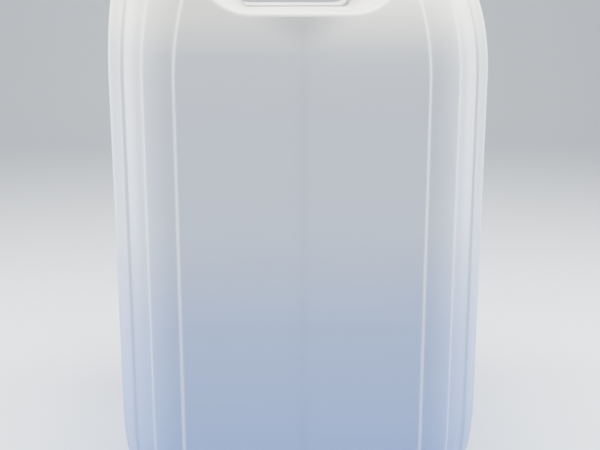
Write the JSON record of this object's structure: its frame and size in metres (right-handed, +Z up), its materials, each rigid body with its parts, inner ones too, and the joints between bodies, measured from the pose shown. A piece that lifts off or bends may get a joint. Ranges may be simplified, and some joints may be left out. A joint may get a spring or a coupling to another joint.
{
  "type": "plastic jerrycan",
  "caption": "Tall stackable blown plastic can with rounded, stepped corners, a hollow handle over a hand hole in its top, and a ribbed screw cap on a side neck.",
  "frame": {"origin": "middle of the can's footprint, on the surface it stands on", "axes": "+Z up along the height, +X along the length towards the neck, +Y along the depth"},
  "size_m": [0.292, 0.246, 0.442],
  "materials": {
    "natural_hdpe": "milky, half see-through blown polyethylene with a soft sheen",
    "white_cap": "white moulded polyethylene, satin",
    "liner_foam": "closed-cell polyethylene foam with a smooth skin"
  },
  "bodies": {
    "can": {"body": "natural_hdpe", "tamper_band": "white_cap"},
    "seal": {"cap_liner": "liner_foam"},
    "screw_cap": {"cap": "white_cap"}
  },
  "joints": [
    {"name": "cap_turn", "type": "hinge", "parent": "seal", "child": "screw_cap", "pos_m": [0.097, 0, 0.42], "axis": [0, 0, 1], "range_deg": [0, 1440]},
    {"name": "cap_lift", "type": "slide", "parent": "can", "child": "seal", "axis": [0, 0, 1], "range_m": [0, 0.024]}
  ],
  "couplings": [
    {"joint": "cap_lift", "follows": "cap_turn", "m_per_rad": 0.00095492}
  ]
}
